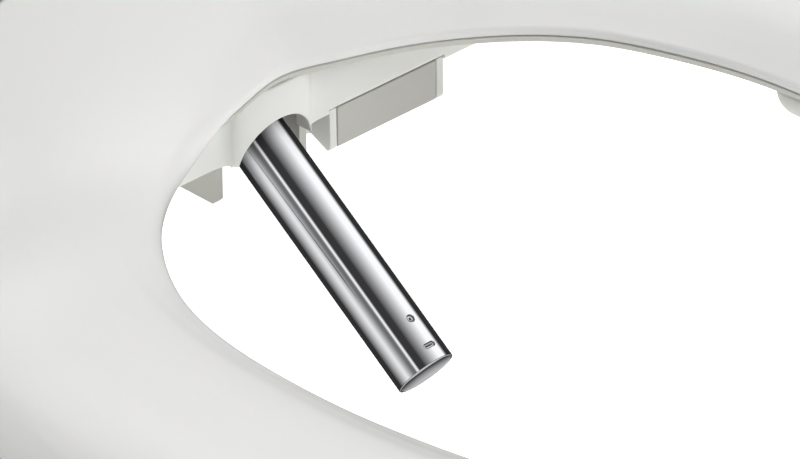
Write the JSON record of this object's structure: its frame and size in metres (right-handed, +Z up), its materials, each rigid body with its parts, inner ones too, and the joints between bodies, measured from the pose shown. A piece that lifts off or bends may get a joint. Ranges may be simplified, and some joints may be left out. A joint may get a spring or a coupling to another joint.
{
  "type": "electric bidet seat",
  "caption": "Heated toilet seat with lid, retractable chrome wash nozzle, warm-air dryer and side console on a bolted slide-on bracket.",
  "frame": {"origin": "on the bowl's deck, midway between the two mounting bolts", "axes": "+X across the bowl to the sitter's left, +Y to the rear, +Z up"},
  "size_m": [0.45, 0.537, 0.5413],
  "materials": {
    "seat_gloss": "glossy off-white moulded plastic",
    "white_satin": "satin warm white moulded plastic",
    "grey_plastic": "satin light grey moulded plastic",
    "inner_plastic": "plain natural moulded plastic",
    "soft_rubber": "pale matt rubber",
    "chrome_tube": "polished stainless tube",
    "steel": "brushed steel",
    "brass_fitting": "turned brass",
    "circuit_board": "green solder mask",
    "dark_plastic": "black moulded plastic",
    "heater_foil": "copper-toned heater foil"
  },
  "bodies": {
    "bracket": {"mounting_plate": "white_satin", "bolt_left": "steel", "bolt_holder_left": "dark_plastic", "bolt_washer_left": "soft_rubber", "bolt_nut_left": "white_satin", "bolt_right": "steel", "bolt_holder_right": "dark_plastic", "bolt_washer_right": "soft_rubber", "bolt_nut_right": "white_satin"},
    "unit": {"base_tray": "white_satin", "top_cover": "seat_gloss", "front_apron": "white_satin", "hinge_barrel": "white_satin", "seat_damper": "dark_plastic", "lid_damper": "dark_plastic", "nozzle_guide": "grey_plastic", "nozzle_motor": "steel", "dryer_duct": "grey_plastic", "blower_housing": "inner_plastic", "blower_motor": "steel", "water_heater": "steel", "inlet_valve": "dark_plastic", "diverter_valve": "inner_plastic", "power_module": "dark_plastic", "control_board": "circuit_board", "inlet_fitting": "brass_fitting", "drain_plug": "white_satin", "cord_gland": "dark_plastic", "console_case": "white_satin", "console_fascia": "seat_gloss", "console_board": "circuit_board"},
    "nozzle": {"nozzle_tube": "chrome_tube", "nozzle_rack": "white_satin", "spray_insert_round": "steel", "spray_insert_slot": "steel"},
    "pinion": {"drive_pinion": "inner_plastic"},
    "impeller": {"blower_impeller": "dark_plastic"},
    "flap": {"dryer_flap": "grey_plastic"},
    "seat": {"seat_top_shell": "seat_gloss", "seat_bottom_shell": "inner_plastic", "seat_heater_foil": "heater_foil", "seat_hinge_pin_left": "steel", "seat_hinge_pin_right": "steel", "seat_bumper_rear_left": "soft_rubber", "seat_bumper_rear_right": "soft_rubber", "seat_bumper_front_left": "soft_rubber", "seat_bumper_front_right": "soft_rubber"},
    "lid": {"lid_shell": "seat_gloss", "lid_hinge_pin_left": "steel", "lid_hinge_pin_right": "steel", "lid_bumper_left": "soft_rubber", "lid_bumper_right": "soft_rubber"},
    "filter": {"odour_filter_tray": "white_satin"},
    "release": {"release_button": "grey_plastic"},
    "stop": {"stop_key": "grey_plastic"},
    "rear_wash": {"rear_wash_key": "grey_plastic"},
    "front_wash": {"front_wash_key": "grey_plastic"},
    "dryer": {"dryer_key": "grey_plastic"},
    "dial": {"pressure_dial": "seat_gloss"}
  },
  "joints": [
    {"name": "unit_slide", "type": "slide", "parent": "bracket", "child": "unit", "axis": [0, -1, 0], "range_m": [0, 0.045]},
    {"name": "lid_hinge", "type": "hinge", "parent": "unit", "child": "lid", "pos_m": [0, 0, 0.061], "axis": [-1, 0, 0], "range_deg": [-105, 0]},
    {"name": "seat_hinge", "type": "hinge", "parent": "unit", "child": "seat", "pos_m": [0, 0, 0.061], "axis": [-1, 0, 0], "range_deg": [0, 95]},
    {"name": "nozzle_slide", "type": "slide", "parent": "unit", "child": "nozzle", "axis": [0, -0.8124, -0.5831], "range_m": [-0.084, 0]},
    {"name": "pinion_spin", "type": "hinge", "parent": "unit", "child": "pinion", "pos_m": [0, 0.02568, 0.03181], "axis": [1, 0, 0], "range_deg": [-806, 4]},
    {"name": "impeller_spin", "type": "hinge", "parent": "unit", "child": "impeller", "pos_m": [0.05, 0.052, 0.052], "axis": [1, 0, 0], "continuous": true},
    {"name": "flap_swing", "type": "hinge", "parent": "unit", "child": "flap", "pos_m": [0.051, -0.0611, -0.0025], "axis": [-1, 0, 0], "range_deg": [0, 65]},
    {"name": "filter_pull", "type": "slide", "parent": "unit", "child": "filter", "axis": [1, 0, 0], "range_m": [0, 0.05]},
    {"name": "release_press", "type": "slide", "parent": "unit", "child": "release", "axis": [1, 0, 0], "range_m": [-0.003, 0], "stiffness_N_per_m": 600},
    {"name": "stop_press", "type": "slide", "parent": "unit", "child": "stop", "axis": [0, 0, 1], "range_m": [-0.0012, 0], "stiffness_N_per_m": 400},
    {"name": "rear_wash_press", "type": "slide", "parent": "unit", "child": "rear_wash", "axis": [0, 0, 1], "range_m": [-0.0012, 0], "stiffness_N_per_m": 400},
    {"name": "front_wash_press", "type": "slide", "parent": "unit", "child": "front_wash", "axis": [0, 0, 1], "range_m": [-0.0012, 0], "stiffness_N_per_m": 400},
    {"name": "dryer_press", "type": "slide", "parent": "unit", "child": "dryer", "axis": [0, 0, 1], "range_m": [-0.0012, 0], "stiffness_N_per_m": 400},
    {"name": "dial_turn", "type": "hinge", "parent": "unit", "child": "dial", "pos_m": [-0.217, 0.024, 0.034], "axis": [0, 0, 1], "range_deg": [-120, 120]}
  ],
  "couplings": [
    {"joint": "pinion_spin", "follows": "nozzle_slide", "rad_per_m": 166.67}
  ]
}
